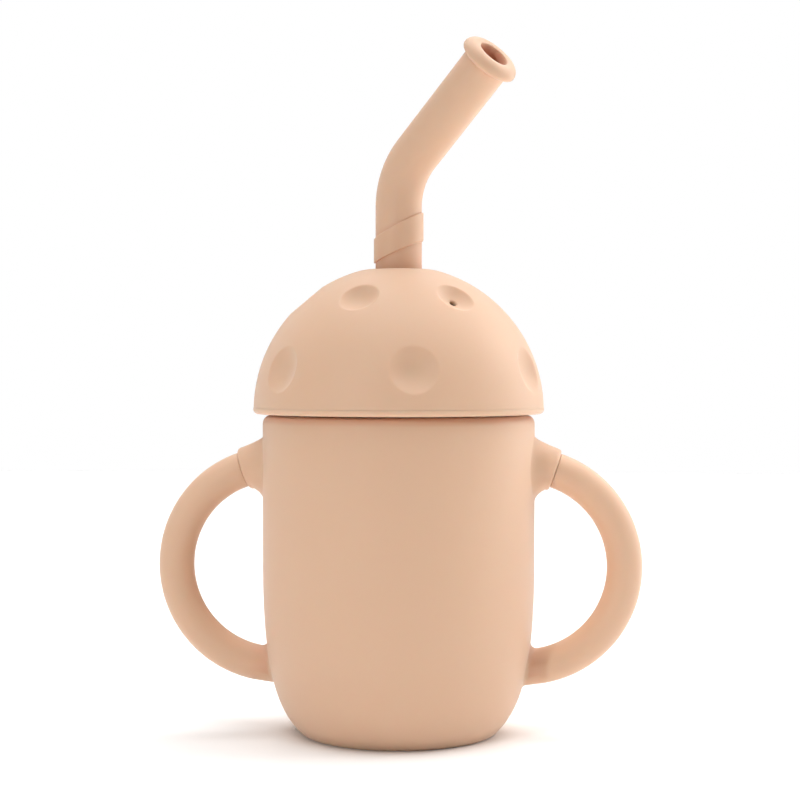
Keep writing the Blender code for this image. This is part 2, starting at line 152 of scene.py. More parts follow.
class LidSizes(bpy.types.PropertyGroup):
    """The dome, its dimples and vent, and the stopper ring bonded under it."""

    radius: length("Radius", "Outer radius of the dome's sphere", 0.0385)
    centre: length("Centre", "Height of the sphere's centre", 0.0855)
    wall: length("Wall", "Thickness of the dome", 0.0030)
    bore: length("Bore", "Radius of the hole for the straw", 0.00620)
    crown_radius: length("Crown radius", "Radius at which the sphere turns into the flatter crown", 0.0115)
    crown_height: length("Crown height", "Height of the crown at the straw", 0.1229)
    boss_foot: length("Boss foot", "Height of the lower end of the sleeve round the straw", 0.1114)
    boss_wall: length("Boss wall", "Thickness of the sleeve round the straw", 0.0026)
    dimple_depth: length("Dimple depth", "Depth of a dimple at its middle", 0.0023)
    dimple_edge: share("Dimple edge", "Softness of a dimple's edge", 0.06)
    dimple_spread: FloatProperty(
        name="Dimple spread", description="Where a dimple has faded out, in its radii", default=1.16, min=1.0
    )
    lower_dimple: length("Lower dimple", "Diameter of the dimples in the lower row", 0.0124)
    lower_first: angle("Lower first", "Azimuth of the first dimple in the lower row", -49.7)
    lower_latitude: angle("Lower latitude", "Latitude of the lower row on the sphere", 16.5)
    upper_dimple: length("Upper dimple", "Diameter of the dimples in the upper row", 0.0105)
    upper_first: angle("Upper first", "Azimuth of the first dimple in the upper row", -79.7)
    upper_latitude: angle("Upper latitude", "Latitude of the upper row on the sphere", 49.9)
    vent_radius: length("Vent radius", "Radius of the air hole", 0.0010)
    vent_edge: length("Vent edge", "Rounding of the air hole's outer edge", 0.0004)
    vent_sideways: length("Vent sideways", "Place of the air hole across its dimple", 0.0003)
    vent_upwards: length("Vent upwards", "Place of the air hole up its dimple", 0.0001)
    dimples: IntProperty(name="Dimples", description="Dimples in each row", default=6, min=1)
    vented: IntProperty(name="Vented", description="Which upper dimple holds the air hole", default=2)
    flash: length("Flash", "How far the stopper stands proud of the dome's lower edge", 0.00007)
    skirt_wall: length("Skirt wall", "Thickness of the stopper's skirt", 0.0024)
    tongue_wall: length("Tongue wall", "Thickness of the stopper's tongue inside the dome", 0.0026)
    rib_height: length("Rib height", "How far a sealing rib stands out", 0.0006)
    rib_spread: length("Rib spread", "Half the width of a sealing rib", 0.0010)
    segments: IntProperty(name="Segments", description="Steps round the lid", default=256, min=24)


class StrawSizes(bpy.types.PropertyGroup):
    """The bent upper straw with its slanted band, and the thin lower straw."""

    radius: length("Radius", "Outer radius of the upper straw", 0.00615)
    bore: length("Bore", "Radius of the upper straw's bore", 0.0041)
    bend_start: length("Bend start", "Height at which the bend starts", 0.1395)
    bend_radius: length("Bend radius", "Radius of the bend at the centreline", 0.0185)
    bend_angle: angle("Bend angle", "How far the bend turns", 47.2)
    bend_azimuth: angle("Bend azimuth", "Where the mouth points, from the front towards +X", 55.0)
    mouth_run: length("Mouth run", "Straight length from the bend to the mouth", 0.03485)
    bead_radius: length("Bead radius", "Outer radius of the bead at the mouth", 0.0079)
    bead_height: length("Bead height", "Length of the bead along the straw", 0.0035)
    bead_widest: length("Bead widest", "Distance from the mouth down to the bead's widest ring", 0.0023)
    bead_crown: length("Bead crown", "Radius at which the bead turns over into the flat lip", 0.0054)
    lip_drop: length("Lip drop", "How far the lip falls towards the bore", 0.00015)
    lid_top: length("Lid top", "Height at which the straw leaves the lid", 0.1229)
    band_low: length("Band low", "Height of the band's lower edge at the axis", 0.12755)
    band_high: length("Band high", "Height of the band's upper edge at the axis", 0.13455)
    band_low_slope: share("Band low slope", "Rise of the band's lower edge towards +X", 0.455)
    band_high_slope: share("Band high slope", "Rise of the band's upper edge towards +X", 0.535)
    band_raise: length("Band raise", "How far the band stands out", 0.00045)
    band_ease: FloatProperty(
        name="Band ease", description="Over how many rises the slant eases away", default=1.2, min=1.01
    )
    # Painted shade: the next five settings darken the straw's base colour under and over the band, where it
    # leaves the lid, in the crease under the bead and down its bore.
    band_painted_shade: share("Band glow", "Strength of the deeper tone under the band", 0.6)
    foot_painted_shade: share("Foot glow", "Strength of the deeper tone where the straw leaves the lid", 0.28)
    bead_painted_shade: share("Bead glow", "Strength of the deeper tone in the crease under the bead", 0.25)
    bore_painted_shade: share("Bore glow", "Strength of the deeper tone in the bore", 0.8)
    bore_painted_shade_reach: length("Bore glow reach", "How fast the tone of the bore deepens", 0.0020)
    socket_radius: length("Socket radius", "Radius of the socket for the lower straw", 0.0046)
    socket_depth: length("Socket depth", "Depth of the socket for the lower straw", 0.0143)
    lower_bore: length("Lower bore", "Radius of the lower straw's bore", 0.0030)
    notch: length("Notch", "Radius of the notches in the lower straw's foot", 0.0018)
    segments: IntProperty(name="Segments", description="Steps round the straws", default=96, min=24)


class SiliconeFinish(bpy.types.PropertyGroup):
    """The matte silicone of every piece."""

    colour: FloatVectorProperty(
        name="Colour", description="The silicone's colour", subtype="COLOR", size=3,
        default=(0.695, 0.458, 0.311), min=0.0, max=1.0,
    )
    flush: FloatVectorProperty(
        name="Flush", description="The warmer tone that clouds through the silicone", subtype="COLOR",
        size=3, default=(0.685, 0.441, 0.297), min=0.0, max=1.0,
    )
    # Painted shade: the dark red that the base colour is mixed towards in creases, hollows, the straw's bore
    # and the arm roots.
    shade_paint_colour: FloatVectorProperty(
        name="Hollow", description="The glowing deeper tone inside hollows and creases", subtype="COLOR",
        size=3, default=(0.63, 0.275, 0.177), min=0.0, max=1.0,
    )
    roughness: share("Roughness", "Roughness of the matte skin", 0.52)
    grain: length("Grain", "Height of the fine grain on the skin", 0.000012)
    glow: share("Glow", "How much light passes under the skin", 0.22)
    glow_reach: length("Glow reach", "How far light passes under the skin", 0.0022)
    sheen: share("Sheen", "Soft haze of the powdery skin at grazing angles", 0.18)


class StageSetup(bpy.types.PropertyGroup):
    """Camera, lights and floor."""

    distance: length("Distance", "Distance of the camera from the cup's axis", 0.470)
    height: length("Height", "Height of the camera over the table", 0.096)
    azimuth: angle("Azimuth", "Turn of the camera from the front towards +X", 4.3)
    aim: length("Aim", "Height at which the camera looks", 0.0883)
    aim_sideways: length("Aim sideways", "How far right of the cup's axis the camera looks", 0.00035)
    lens: FloatProperty(name="Lens", description="Focal length in mm", default=79.47, unit="CAMERA")
    floor_size: length("Floor size", "Width of the floor", 2.4)
    softbox_size: length("Softbox size", "Width of a softbox", 0.7)
    lit_height: length("Lit height", "Height that the softboxes face", 0.09)
    floor_colour: FloatVectorProperty(
        name="Floor colour", description="The floor's paint", subtype="COLOR", size=3,
        default=(0.955, 0.95, 0.945), min=0.0, max=1.0,
    )


def direction(azimuth, latitude=0.0):
    """A unit vector at an azimuth from the front towards +X and a latitude, in radians."""
    flat = math.cos(latitude)
    return Vector((math.sin(azimuth) * flat, -math.cos(azimuth) * flat, math.sin(latitude)))


def quarter_turns(steps, first=1):
    """The angles of even steps through a quarter turn, up to its end."""
    return [QUARTER * step / steps for step in range(first, steps + 1)]


class Outline:
    """A half-section drawn in the XZ plane as one run of edges, to be spun round the Z axis."""

    def __init__(self, radius, height):
        self.builder = bmesh.new()
        self.end = self.builder.verts.new((radius, 0.0, height))
        self.corners = []

    def line(self, radius, height, rounding=0.0):
        """Draws to a point, whose corner gets a rounding."""
        made = self.builder.verts.new((radius, 0.0, height))
        self.builder.edges.new((self.end, made))
        self.end = made
        if rounding:
            self.corners.append((made, rounding))

    def arc(self, height, turn, steps):
        """Turns the last point about a centre on the axis, anticlockwise as seen with +X right."""
        made = bmesh.ops.spin(
            self.builder, geom=[self.end], cent=(0.0, 0.0, height), axis=-ACROSS, angle=turn, steps=steps
        )
        self.end = next(item for item in made["geom_last"] if isinstance(item, bmesh.types.BMVert))

    def round_end(self, rounding):
        """Gives the last point a rounding."""
        self.corners.append((self.end, rounding))

    def curve(self, first_handle, second_handle, radius, height, steps):
        """Draws a Bezier curve from the last point."""
        nodes = [self.end.co.copy()]
        for place in (first_handle, second_handle, (radius, height)):
            nodes.append(Vector((place[0], 0.0, place[1])))
        for point in interpolate_bezier(*nodes, steps + 1)[1:]:
            self.line(point.x, point.z)

    def spun(self, segments, longest):
        """Rounds the corners, cuts long runs and spins the section into a closed skin."""
        for corner, rounding in self.corners:
            bmesh.ops.bevel(
                self.builder, geom=[corner], offset=rounding, offset_type="OFFSET",
                affect="VERTICES", segments=CORNER_STEPS, profile=0.5, material=-1,
            )
        for edge in self.builder.edges[:]:
            cuts = int(edge.calc_length() / longest)
            if cuts:
                bmesh.ops.subdivide_edges(self.builder, edges=[edge], cuts=cuts)
        bmesh.ops.spin(
            self.builder, geom=self.builder.verts[:] + self.builder.edges[:], cent=(0.0, 0.0, 0.0),
            axis=UP, angle=math.tau, steps=segments, use_merge=True,
        )
        bmesh.ops.remove_doubles(self.builder, verts=self.builder.verts, dist=MERGE)
        bmesh.ops.recalc_face_normals(self.builder, faces=self.builder.faces)
        return self.builder


class Rim:
    """A loop of edges that grows ring by ring, while each vertex keeps its own turn round the loop."""

    def __init__(self, builder, edges, turns):
        self.builder = builder
        self.edges = edges
        layers = builder.verts.layers.float
        self.turn = layers.get("turn") or layers.new("turn")
        for vert in {vert for edge in edges for vert in edge.verts}:
            vert[self.turn] = turns(vert.co)

    def lay(self, place):
        """Puts each vertex where place says for its turn."""
        for vert in {vert for edge in self.edges for vert in edge.verts}:
            vert.co = place(vert[self.turn])

    def grow(self, place):
        """Extrudes the loop once and lays the new ring."""
        made = bmesh.ops.extrude_edge_only(self.builder, edges=self.edges)["geom"]
        fresh = {item for item in made if isinstance(item, bmesh.types.BMVert)}
        self.edges = [
            item for item in made
            if isinstance(item, bmesh.types.BMEdge) and fresh.issuperset(item.verts)
        ]
        self.lay(place)

    def sweep(self, centre, axis, turn, steps):
        """Spins the loop about an axis and goes on from its last ring."""
        made = bmesh.ops.spin(
            self.builder, geom=self.edges, cent=centre, axis=axis, angle=turn, steps=steps
        )["geom_last"]
        self.edges = [item for item in made if isinstance(item, bmesh.types.BMEdge)]

    def close(self):
        """Fills the loop with a fan."""
        filled = bmesh.ops.contextual_create(self.builder, geom=self.edges)
        bmesh.ops.poke(self.builder, faces=filled["faces"])


def open_window(builder, centre, across, up, inside, place):
    """Takes out the faces that lie inside, and lays the rim of the opening where place says."""
    doomed = [face for face in builder.faces if inside(face.calc_center_median())]
    if not doomed:
        raise RuntimeError("a window found no faces to open")
    gone = set(doomed)
    edges = [
        edge for face in doomed for edge in face.edges
        if any(other not in gone for other in edge.link_faces)
    ]
    bmesh.ops.delete(builder, geom=doomed, context="FACES")
    rim = Rim(builder, edges, lambda co: math.atan2((co - centre).dot(up), (co - centre).dot(across)))
    rim.lay(place)
    return rim


def round_ring(centre, across, up, radius):
    """The place of each turn on a circle."""
    return lambda turn: centre + radius * (across * math.cos(turn) + up * math.sin(turn))


def fade(distance, reach):
    """Falls from 1 to 0 over a reach, and is 0 before its start."""
    if distance < -MERGE or distance > reach:
        return 0.0
    return 1.0 - distance / reach


def paint_crease_shade(builder, painted_shade_share):
    """Stores painted shade for each vertex, from 0 to 1, that darkens the base colour in creases and hollows.
    """
    layer = builder.verts.layers.float.new("painted_shade")
    for vert in builder.verts:
        vert[layer] = painted_shade_share(vert.co)


def finish_piece(name, builder, body, nodes, material):
    """Writes a bmesh to a named piece that rides on a body and stands for CAD nodes."""
    layer = builder.verts.layers.float.get("turn")
    if layer:
        builder.verts.layers.float.remove(layer)
    mesh = bpy.data.meshes.new(name)
    builder.to_mesh(mesh)
    builder.free()
    mesh.shade_smooth()
    mesh.set_sharp_from_angle(angle=SHARP_ANGLE)
    piece = bpy.data.objects.new(name, mesh)
    bpy.context.scene.collection.objects.link(piece)
    mesh.materials.append(material)
    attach(piece, body)
    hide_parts(*nodes)
    return piece


# ---------------------------------------------------------------- finish


class Signal:
    """A number on a node's output, so that shader maths reads as an ordinary expression."""

    def __init__(self, graph, socket):
        self.graph = graph
        self.socket = socket

    def maths(self, operation, first, second):
        """A Math node on two signals or numbers."""
        node = self.graph.add("ShaderNodeMath", {"operation": operation}, {0: first, 1: second})
        return Signal(self.graph, node.outputs[0])

    def __add__(self, other):
        return self.maths("ADD", self, other)

    def __sub__(self, other):
        return self.maths("SUBTRACT", self, other)

    def __mul__(self, other):
        return self.maths("MULTIPLY", self, other)


class Graph:
    """The node tree of one material."""

    def __init__(self, name):
        self.material = bpy.data.materials.new(name)
        self.material.use_nodes = True
        self.tree = self.material.node_tree
        self.shader = self.tree.nodes["Principled BSDF"]

    def add(self, kind, settings, values):
        """Adds a node, sets its settings, and then its sockets to values or links."""
        node = self.tree.nodes.new(kind)
        for key, value in settings.items():
            setattr(node, key, value)
        for key, value in values.items():
            self.feed(node.inputs[key], value)
        return node

    def feed(self, socket, value):
        """Sets a socket to a number or colour, or links a signal or another socket to it."""
        if isinstance(value, Signal):
            value = value.socket
        if isinstance(value, bpy.types.NodeSocket):
            self.tree.links.new(value, socket)
        else:
            socket.default_value = value

    def noise(self, place, scale, detail):
        """A noise from 0 to 1 with features of about 1/scale metres."""
        node = self.add("ShaderNodeTexNoise", {}, {"Vector": place, "Scale": scale, "Detail": detail})
        return Signal(self, node.outputs["Fac"])


def silicone(name, finish, offset):
    """Matte moulded silicone: a fine grained skin, soft clouds of tone and light under the skin."""
    graph = Graph(name)
    cloud_share = 0.65
    grain_share = 0.6
    roughness_spread = 0.10
    centre = graph.add("ShaderNodeTexCoord", {}, {}).outputs["Object"]
    place = graph.add("ShaderNodeMapping", {}, {"Vector": centre, "Location": offset}).outputs["Vector"]
    grain = graph.noise(place, scale=3800.0, detail=2.0)
    mottle = graph.noise(place, scale=520.0, detail=3.0)
    cloud = graph.noise(place, scale=38.0, detail=2.0)
    tone = cloud * cloud_share + mottle * (1.0 - cloud_share)
    colour = graph.add(
        "ShaderNodeMix", {"data_type": "RGBA"},
        {"Factor": tone, 6: (*finish.flush, 1.0), 7: (*finish.colour, 1.0)},
    )
    # Painted shade: each piece's vertex attribute mixes the base colour towards the dark red in creases and
    # hollows, standing in for shadow and light bounced inside the silicone.
    painted_shade_share = graph.add("ShaderNodeAttribute", {"attribute_name": "painted_shade"}, {}).outputs["Fac"]
    colour = graph.add(
        "ShaderNodeMix", {"data_type": "RGBA"},
        {"Factor": painted_shade_share, 6: colour.outputs[2], 7: (*finish.shade_paint_colour, 1.0)},
    )
    height = grain * grain_share + mottle * (1.0 - grain_share)
    bump = graph.add(
        "ShaderNodeBump", {}, {"Height": height, "Distance": finish.grain, "Strength": 1.0}
    )
    graph.feed(graph.shader.inputs["Base Color"], colour.outputs[2])
    graph.feed(graph.shader.inputs["Roughness"], (mottle - 0.5) * roughness_spread + finish.roughness)
    graph.feed(graph.shader.inputs["Normal"], bump.outputs["Normal"])
    for socket, value in (
        ("Metallic", 0.0),
        ("IOR", 1.41),
        ("Specular IOR Level", 0.42),
        ("Subsurface Weight", finish.glow),
        ("Subsurface Radius", (1.0, 0.38, 0.20)),
        ("Subsurface Scale", finish.glow_reach),
        ("Sheen Weight", finish.sheen),
        ("Sheen Roughness", 0.45),
    ):
        graph.feed(graph.shader.inputs[socket], value)
    return graph.material


# ---------------------------------------------------------------- pieces


def cup_skin(sizes):
    """The tumbler's whole skin: recessed foot, bowl, wall, rounded rim and inner well."""
    inner = sizes.radius - sizes.wall
    outline = Outline(0.0, sizes.recess_depth)
    outline.line(sizes.recess_radius - sizes.recess_depth, sizes.recess_depth, rounding=0.0003)
    outline.line(sizes.recess_radius, 0.0, rounding=0.0003)
    outline.line(sizes.foot_radius, 0.0, rounding=0.0006)
    outline.curve(
        (sizes.foot_radius + sizes.bowl_swell, sizes.bowl_spring), (sizes.radius, sizes.bowl_shoulder),
        sizes.radius, sizes.bowl_top, steps=40,
    )
    outline.line(sizes.radius, sizes.height, rounding=sizes.rim_outer)
    outline.line(inner, sizes.height, rounding=sizes.rim_inner)
    outline.line(inner, sizes.bowl_top)
    outline.curve(
        (inner, sizes.well_shoulder), (sizes.well_swell, sizes.floor),
        sizes.well_floor, sizes.floor, steps=30,
    )
    outline.line(0.0, sizes.floor)
    builder = outline.spun(sizes.segments, longest=0.0013)
    # Painted shade along the rim's outer rounding, under the lid's edge.
    paint_crease_shade(builder, lambda place: sizes.rim_painted_shade * fade(sizes.height - place.z, sizes.rim_outer))
    return builder


def arm_frame(arm, turn):
    """Centre, outward direction and upward tangent of the right arm's arc at an angle."""
    outward = Vector((math.cos(turn), 0.0, math.sin(turn)))
    centre = Vector((arm.arc_centre, 0.0, arm.arc_height)) + arm.arc_radius * outward
    return centre, outward, Vector((-math.sin(turn), 0.0, math.cos(turn)))


def grow_collar(builder, cup, arm, side):
    """Opens the wall and flares it out, part cone and part round, into the collar for one arm's peg."""
    end, outward, inward = arm_frame(arm, arm.top_angle)
    mirror = Vector((side, 1.0, 1.0))
    root = Vector((cup.radius, 0.0, cup.collar_height))

    def on_wall(turn):
        y = cup.collar_root * math.cos(turn)
        z = cup.collar_height + cup.collar_root * math.sin(turn)
        return Vector((math.sqrt(cup.radius**2 - y * y), y, z)) * mirror

    def inside(place):
        away = math.hypot(place.y, place.z - cup.collar_height)
        outer = math.hypot(place.x, place.y) > cup.radius - 0.5 * cup.wall
        return outer and side * place.x > 0.0 and away < cup.collar_root

    def ring(centre, up, radius, sag=0.0):
        def place(turn):
            y = radius * math.cos(turn)
            drop = sag * (math.sqrt(cup.radius**2 - y * y) - cup.radius)
            return (centre + ACROSS * y + up * radius * math.sin(turn) + Vector((drop, 0.0, 0.0))) * mirror
        return place

    window = open_window(builder, root * mirror, ACROSS, UP, inside, on_wall)
    neck = end + inward * cup.collar_edge
    flare = cup.collar_root - cup.collar_radius
    cone = 0.45
    steps = 16
    for step in range(1, steps + 1):
        turn = QUARTER * (1.0 - step / steps)
        reach = math.sin(turn)
        spread = cone * reach + (1.0 - cone) * (1.0 - math.cos(turn))
        centre = neck.lerp(root, reach)
        centre.z = neck.z + (root.z - neck.z) * math.sin(QUARTER * reach)
        leaning = outward.lerp(UP, reach).normalized()
        window.grow(ring(centre, leaning, cup.collar_radius + flare * spread, reach * reach))
    for turn in quarter_turns(EDGE_STEPS):
        centre = neck - inward * cup.collar_edge * math.sin(turn)
        window.grow(ring(centre, outward, cup.collar_radius - cup.collar_edge * (1.0 - math.cos(turn))))
    window.grow(ring(end, outward, cup.socket_radius))
    window.grow(ring(end + inward * cup.socket_depth, outward, cup.socket_radius))
    window.close()


def arm_skin(cup_piece, arm):
    """The right arm: its peg, shoulder, round bar and the flared root that lies on the bowl."""
    builder = bmesh.new()
    end, outward, inward = arm_frame(arm, arm.top_angle)
    shoulder = end - inward * arm.seam
    edge = arm.edge
    bmesh.ops.create_circle(builder, segments=arm.segments, radius=arm.radius)
    bar = Rim(builder, builder.edges[:], lambda co: math.atan2(co.y, co.x))
    bar.lay(round_ring(shoulder - inward * edge, ACROSS, outward, arm.radius))
    peg = Rim(builder, bar.edges, lambda co: math.atan2((co - shoulder).dot(outward), co.y))
    for turn in quarter_turns(EDGE_STEPS):
        centre = shoulder - inward * edge * (1.0 - math.sin(turn))
        peg.grow(round_ring(centre, ACROSS, outward, arm.radius - edge * (1.0 - math.cos(turn))))
    peg_end = end + inward * arm.peg_length
    peg.grow(round_ring(shoulder, ACROSS, outward, arm.peg_radius))
    peg.grow(round_ring(peg_end - inward * edge, ACROSS, outward, arm.peg_radius))
    peg.grow(round_ring(peg_end, ACROSS, outward, arm.peg_radius - edge))
    peg.close()
    arc_centre = (arm.arc_centre, 0.0, arm.arc_height)
    bar.sweep(arc_centre, ACROSS, arm.top_angle + arm.root_angle, steps=72)
    lay_root(bar, cup_piece, arm)

    # Painted shade on the arm below the arc's centre, darkest next to the bowl and fading out along the arm.
    def painted_shade_share(place):
        if place.z > arm.arc_height:
            return 0.0
        return arm.glow * fade(place.x - arm.painted_shade_start, arm.glow_reach)

    paint_crease_shade(builder, painted_shade_share)
    return builder


def lay_root(bar, cup_piece, arm):
    """Flares the arm's last ring into the bowl and closes it with a face that fits the bowl."""
    middle, down, _ = arm_frame(arm, -arm.root_angle)
    ahead = Vector((-math.cos(arm.root_dip), 0.0, -math.sin(arm.root_dip)))

    def on_bowl(turn, radius, height):
        start = middle - ahead * arm.arc_radius
        start += radius * (ACROSS * math.cos(turn) + down * math.sin(turn))
        found, hit, _, _ = cup_piece.ray_cast(start, ahead)
        if not found:
            raise RuntimeError("the arm's root missed the bowl")
        return hit - ahead * height

    def flare(bend):
        def place(turn):
            fillet = arm.root_fillet - arm.root_skew * math.sin(turn)
            radius = arm.radius + fillet * (1.0 - math.cos(bend))
            return on_bowl(turn, radius, fillet * (1.0 - math.sin(bend)) - arm.bond)
        return place

    for bend in quarter_turns(steps=8, first=0):
        bar.grow(flare(bend))
    for part in (0.7, 0.35):
        bar.grow(lambda turn: on_bowl(turn, part * arm.radius, -arm.bond))
    bar.close()


def dome_skin(lid):
    """The dome's skin: its sphere, the sleeve for the straw, the inner sphere and the base."""
    base = CAP_LOW.z
    rise = base - lid.centre
    inner = lid.radius - lid.wall
    boss = lid.bore + lid.boss_wall
    start = math.asin(rise / lid.radius)
    top = math.acos(lid.crown_radius / lid.radius)
    inner_top = math.acos(boss / inner)
    inner_start = math.asin(rise / inner)
    outline = Outline(math.sqrt(inner**2 - rise**2), base)
    outline.line(math.sqrt(lid.radius**2 - rise**2), base, rounding=0.00003)
    outline.arc(lid.centre, top - start, steps=50)
    shoulder = lid.centre + math.sqrt(lid.radius**2 - lid.crown_radius**2)
    slope = lid.crown_radius / (shoulder - lid.centre)
    width = lid.crown_radius - lid.bore
    onward = 0.45 * width
    level = 0.35 * width
    outline.curve(
        (lid.crown_radius - onward, shoulder + onward * slope), (lid.bore + level, lid.crown_height),
        lid.bore, lid.crown_height, steps=10,
    )
    outline.round_end(0.0004)
    outline.line(lid.bore, lid.boss_foot, rounding=0.0004)
    outline.line(boss, lid.boss_foot, rounding=0.0005)
    outline.line(boss, lid.centre + math.sqrt(inner**2 - boss**2), rounding=0.0006)
    outline.arc(lid.centre, inner_start - inner_top, steps=40)
    return outline.spun(lid.segments, longest=0.0014)


def press_dimple(builder, lid, azimuth, latitude, diameter, vent=None):
    """Presses one soft round dimple into the dome, with an air hole through it where vent is given."""
    aim = direction(azimuth, latitude)
    across = direction(azimuth + QUARTER)
    up = aim.cross(across)
    centre = Vector((0.0, 0.0, lid.centre))
    reach = 0.5 * diameter
    outer = lid.dimple_spread * reach

    def dent(away):
        slope = 1.0 - (away / reach) ** 2
        return 0.5 * lid.dimple_depth * (math.sqrt(slope * slope + lid.dimple_edge**2) + slope)

    def on_dome(sideways, upwards, sunk):
        away = math.hypot(sideways, upwards)
        heading = (across * sideways + up * upwards) / max(away, MERGE)
        turn = away / lid.radius
        return centre + (aim * math.cos(turn) + heading * math.sin(turn)) * (lid.radius - sunk)

    def ring(radius, shift=(0.0, 0.0), deeper=0.0):
        def place(turn):
            sideways = shift[0] + radius * math.cos(turn)
            upwards = shift[1] + radius * math.sin(turn)
            sunk = dent(math.hypot(sideways, upwards)) - dent(outer)
            return on_dome(sideways, upwards, max(sunk, 0.0) + deeper)
        return place

    def inside(place):
        outward = place - centre
        return outward.length > lid.radius - 0.5 * lid.wall and lid.radius * outward.angle(aim) < outer

    window = open_window(builder, centre + aim * lid.radius, across, up, inside, ring(outer))
    rings = 26
    if vent is None:
        for step in range(1, rings):
            window.grow(ring(outer * (1.0 - step / rings)))
        window.close()
        return
    mouth = lid.vent_radius + lid.vent_edge
    for step in range(1, rings + 1):
        part = step / rings
        shift = (vent[0] * part, vent[1] * part)
        window.grow(ring(outer + (mouth - outer) * part, shift))
    for turn in quarter_turns(EDGE_STEPS):
        deeper = lid.vent_edge * (1.0 - math.cos(turn))
        window.grow(ring(mouth - lid.vent_edge * math.sin(turn), vent, deeper))

    def inner_ring(radius):
        def place(turn):
            return on_dome(vent[0] + radius * math.cos(turn), vent[1] + radius * math.sin(turn), lid.wall)
        return place

    hole = (on_dome(vent[0], vent[1], lid.wall) - centre).normalized()
    near = 0.12 * lid.wall
    widest = 3.0 * lid.vent_radius

    def inside_inner(place):
        outward = place - centre
        away = abs(outward.length - (lid.radius - lid.wall))
        return away < near and lid.radius * outward.angle(hole) < widest

    under = open_window(
        builder, centre + hole * lid.radius, across, up, inside_inner, inner_ring(widest)
    )
    for radius in (2.0 * lid.vent_radius, lid.vent_radius):
        under.grow(inner_ring(radius))
    bmesh.ops.bridge_loops(builder, edges=window.edges + under.edges)


def stopper_skin(lid, cup):
    """The stopper ring: a rounded flange, a skirt with two sealing ribs, and a tongue inside the dome."""
    top = CAP_LOW.z - HAIRLINE
    bottom = PLUG_LOW.z
    flange = cup.height + CLEARANCE
    edge = math.sqrt(lid.radius**2 - (top - lid.centre) ** 2) + lid.flash
    skirt = cup.radius - cup.wall - CLEARANCE - lid.rib_height
    inside = skirt - lid.skirt_wall
    tongue = lid.radius - lid.wall - CLEARANCE
    shoulder = top - 0.0010
    outline = Outline(inside, bottom)
    outline.line(skirt, bottom, rounding=0.0006)
    for part in (0.34, 0.72):
        rib = bottom + part * (flange - bottom)
        outline.line(skirt, rib - lid.rib_spread, rounding=0.0003)
        outline.line(skirt + lid.rib_height, rib, rounding=0.0005)
        outline.line(skirt, rib + lid.rib_spread, rounding=0.0003)
    outline.line(skirt, flange, rounding=0.0003)
    outline.line(edge, flange, rounding=0.0012)
    outline.line(edge, top, rounding=0.00004)
    outline.line(tongue, top)
    outline.line(tongue, PLUG_HIGH.z, rounding=0.0004)
    outline.line(tongue - lid.tongue_wall, PLUG_HIGH.z, rounding=0.0004)
    outline.line(inside, shoulder, rounding=0.0008)
    outline.line(inside, bottom)
    return outline.spun(lid.segments, longest=0.0014)


def straw_painted_shade(straw, place, neck, mouth):
    """How much painted shade a point of the straight straw gets: down its bore, at the band's edges, at its
    foot where it leaves the lid, and in the crease under the bead.
    """
    inner_edge = straw.bore + 0.0004
    outer_edge = straw.radius + straw.band_raise - 0.0001
    radius = math.hypot(place.x, place.y)
    if radius < inner_edge:
        inwards = (mouth - straw.lip_drop - place.z) / straw.bore_painted_shade_reach
        return min(straw.bore_painted_shade, max(0.0, inwards))
    if radius > outer_edge and place.z < neck - 0.0010:
        return 0.0
    # The painted shade under the band's lower edge is strongest on the -X side and fades out towards +X.
    shaded_side_share = 0.5 - 0.5 * place.x / straw.radius
    return max(
        fade(straw.band_low - place.z, reach=0.0014) * straw.band_painted_shade * shaded_side_share,
        fade(place.z - straw.band_high, reach=0.0010) * straw.band_painted_shade * 0.5,
        fade(place.z - straw.lid_top, reach=0.0060) * straw.foot_painted_shade,
        fade(abs(place.z - neck), reach=0.0010) * straw.bead_painted_shade,
    )


def straw_skin(straw):
    """The upper straw, turned as a straight tube with its bead, its bore and its raised band."""
    foot = STRAW_LOW.z
    bend = straw.bend_radius * straw.bend_angle
    mouth = straw.bend_start + bend + straw.mouth_run
    raised = straw.radius + straw.band_raise
    outline = Outline(straw.socket_radius, foot)
    outline.line(straw.radius, foot, rounding=0.0005)
    outline.line(straw.radius, straw.band_low, rounding=0.00005)
    outline.line(raised, straw.band_low, rounding=0.00030)
    outline.line(raised, straw.band_high, rounding=0.00026)
    outline.line(straw.radius, straw.band_high, rounding=0.00008)
    neck = mouth - straw.bead_height
    widest = mouth - straw.bead_widest
    swell = straw.bead_radius - straw.radius
    under = widest - neck
    turnover = straw.bead_radius - straw.bead_crown
    outline.line(straw.radius, neck, rounding=0.00060)
    outline.curve(
        (straw.radius + 0.55 * swell, neck + 0.12 * under), (straw.bead_radius, widest - 0.5 * under),
        straw.bead_radius, widest, steps=10,
    )
    outline.curve(
        (straw.bead_radius, widest + 0.55 * straw.bead_widest),
        (straw.bead_radius - 0.45 * turnover, mouth), straw.bead_crown, mouth, steps=14,
    )
    outline.line(straw.bore, mouth - straw.lip_drop, rounding=0.0003)
    outline.line(straw.bore, foot + straw.socket_depth, rounding=0.0003)
    outline.line(straw.socket_radius, foot + straw.socket_depth)
    outline.line(straw.socket_radius, foot)
    builder = outline.spun(straw.segments, longest=0.0010)
    # Painted shade down the bore and in the band, foot and bead creases.
    paint_crease_shade(builder, lambda place: straw_painted_shade(straw, place, neck, mouth))
    slant_band(builder, straw)
    bend_straw(builder, straw)
    return builder


